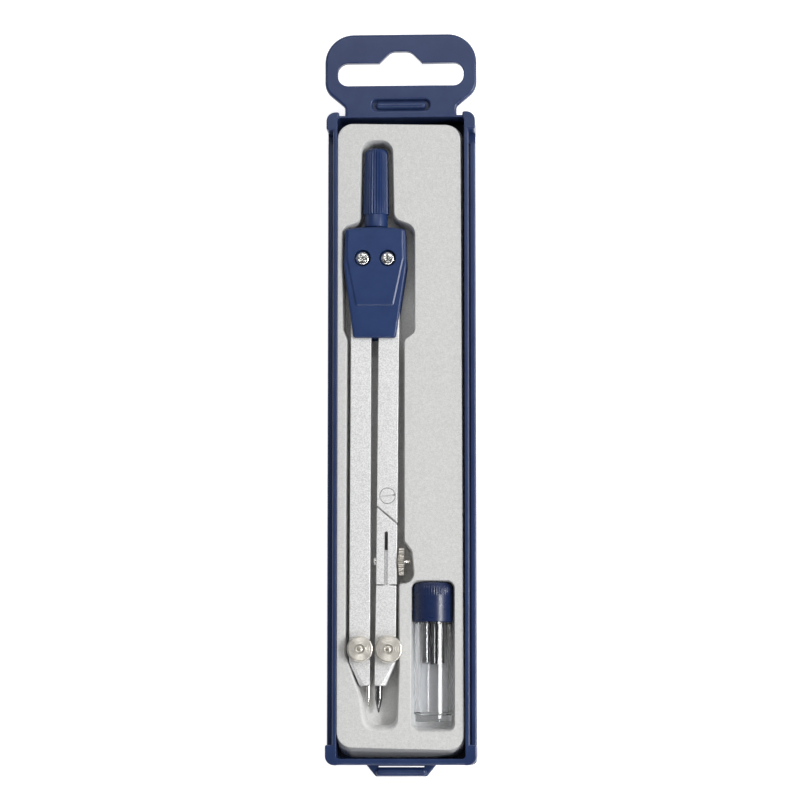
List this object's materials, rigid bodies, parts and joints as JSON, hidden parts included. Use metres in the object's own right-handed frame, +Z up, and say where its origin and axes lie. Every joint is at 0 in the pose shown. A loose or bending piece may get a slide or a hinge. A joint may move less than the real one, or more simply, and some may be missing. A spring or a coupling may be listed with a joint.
{
  "type": "drafting compass set",
  "caption": "Geared-head drafting compass with a jointed lead leg, and a tube of spare leads, in a flocked insert inside a hanging tray.",
  "frame": {"origin": "middle of the tray's underside, on the surface the case lies on", "axes": "+Z up out of the tray, +Y along the case towards the hang tab, +X to the right, on the lead tube's side"},
  "size_m": [0.041, 0.2, 0.015],
  "materials": {
    "case_plastic": "moulded navy plastic, satin on the flat tab",
    "insert_flock": "light grey flocking on thermoformed sheet",
    "head_plastic": "moulded blue plastic, satin",
    "leg_metal": "satin pearl plating with a fine grain",
    "screw_chrome": "bright",
    "thumb_nickel": "turned nickel, faintly warm, with fine rings",
    "needle_steel": "ground and polished",
    "graphite": "graphite lead with a dull sheen",
    "cap_plastic": "glossy blue plastic",
    "clear_plastic": "clear polystyrene"
  },
  "bodies": {
    "case": {"case_tray": "case_plastic", "insert": "insert_flock"},
    "compass_head": {"handle_grip": "head_plastic", "head_front_cover": "head_plastic", "head_back_cover": "head_plastic", "head_screw_left": "screw_chrome", "head_screw_right": "screw_chrome", "head_nut_left": "needle_steel", "head_nut_right": "needle_steel"},
    "needle_side": {"needle_leg": "leg_metal"},
    "needle_screw": {"needle_thumb_screw": "thumb_nickel"},
    "needle_point": {"needle": "needle_steel"},
    "lead_side": {"lead_leg_upper": "leg_metal", "knee_screw": "leg_metal"},
    "socket": {"knee_socket": "leg_metal", "socket_clamp_stud": "screw_chrome"},
    "clamp_nut": {"socket_clamp_nut": "thumb_nickel"},
    "holder": {"lead_holder": "leg_metal"},
    "lead_screw": {"lead_thumb_screw": "thumb_nickel"},
    "lead_point": {"compass_lead": "graphite"},
    "tube": {"tube_body": "clear_plastic"},
    "cap": {"tube_cap": "cap_plastic"},
    "spare_1": {"spare_lead_1": "graphite"},
    "spare_2": {"spare_lead_2": "graphite"},
    "spare_3": {"spare_lead_3": "graphite"}
  },
  "joints": [
    {"name": "compass_take_out", "type": "slide", "parent": "case", "child": "compass_head", "axis": [0.0995, 0, 0.995], "range_m": [0, 0.3]},
    {"name": "needle_leg_swing", "type": "hinge", "parent": "compass_head", "child": "needle_side", "pos_m": [-0.01022, 0.03852, 0.0094], "axis": [0, 0, -1], "range_deg": [0, 30]},
    {"name": "lead_leg_swing", "type": "hinge", "parent": "compass_head", "child": "lead_side", "pos_m": [-0.00348, 0.03848, 0.0094], "axis": [0, 0, 1], "range_deg": [0, 30]},
    {"name": "knee_bend", "type": "hinge", "parent": "lead_side", "child": "socket", "pos_m": [-0.00357, -0.02542, 0.0094], "axis": [0, 0, -1], "range_deg": [0, 30]},
    {"name": "holder_slide", "type": "slide", "parent": "socket", "child": "holder", "axis": [-0.007, -1, 0], "range_m": [0, 0.003]},
    {"name": "clamp_nut_turn", "type": "hinge", "parent": "socket", "child": "clamp_nut", "pos_m": [-0.00102, -0.04284, 0.0094], "axis": [1, -0.007, 0], "range_deg": [0, 720]},
    {"name": "needle_screw_turn", "type": "hinge", "parent": "needle_side", "child": "needle_screw", "pos_m": [-0.01073, -0.06628, 0.0094], "axis": [0, 0, 1], "range_deg": [0, 720]},
    {"name": "lead_screw_turn", "type": "hinge", "parent": "holder", "child": "lead_screw", "pos_m": [-0.00318, -0.06633, 0.0094], "axis": [0, 0, 1], "range_deg": [0, 720]},
    {"name": "needle_slide", "type": "slide", "parent": "needle_side", "child": "needle_point", "axis": [-0.007, -1, 0], "range_m": [-0.002, 0.003]},
    {"name": "lead_slide", "type": "slide", "parent": "holder", "child": "lead_point", "axis": [-0.007, -1, 0], "range_m": [-0.003, 0.003]},
    {"name": "tube_take_out", "type": "slide", "parent": "case", "child": "tube", "axis": [0, 0, 1], "range_m": [0, 0.25]},
    {"name": "cap_pull", "type": "slide", "parent": "tube", "child": "cap", "axis": [0, 1, 0], "range_m": [0, 0.01]},
    {"name": "spare_lead_1_slide", "type": "slide", "parent": "tube", "child": "spare_1", "axis": [0, -1, 0], "range_m": [-0.002, 0.0128]},
    {"name": "spare_lead_2_slide", "type": "slide", "parent": "tube", "child": "spare_2", "axis": [0, -1, 0], "range_m": [-0.002, 0.0128]},
    {"name": "spare_lead_3_slide", "type": "slide", "parent": "tube", "child": "spare_3", "axis": [0, -1, 0], "range_m": [-0.002, 0.0128]}
  ],
  "couplings": [
    {"joint": "needle_leg_swing", "follows": "compass_take_out", "rad_per_m": 1.7453},
    {"joint": "lead_leg_swing", "follows": "compass_take_out", "rad_per_m": 1.7453},
    {"joint": "knee_bend", "follows": "compass_take_out", "rad_per_m": 1.7453},
    {"joint": "cap_pull", "follows": "tube_take_out", "ratio": 0.04}
  ]
}
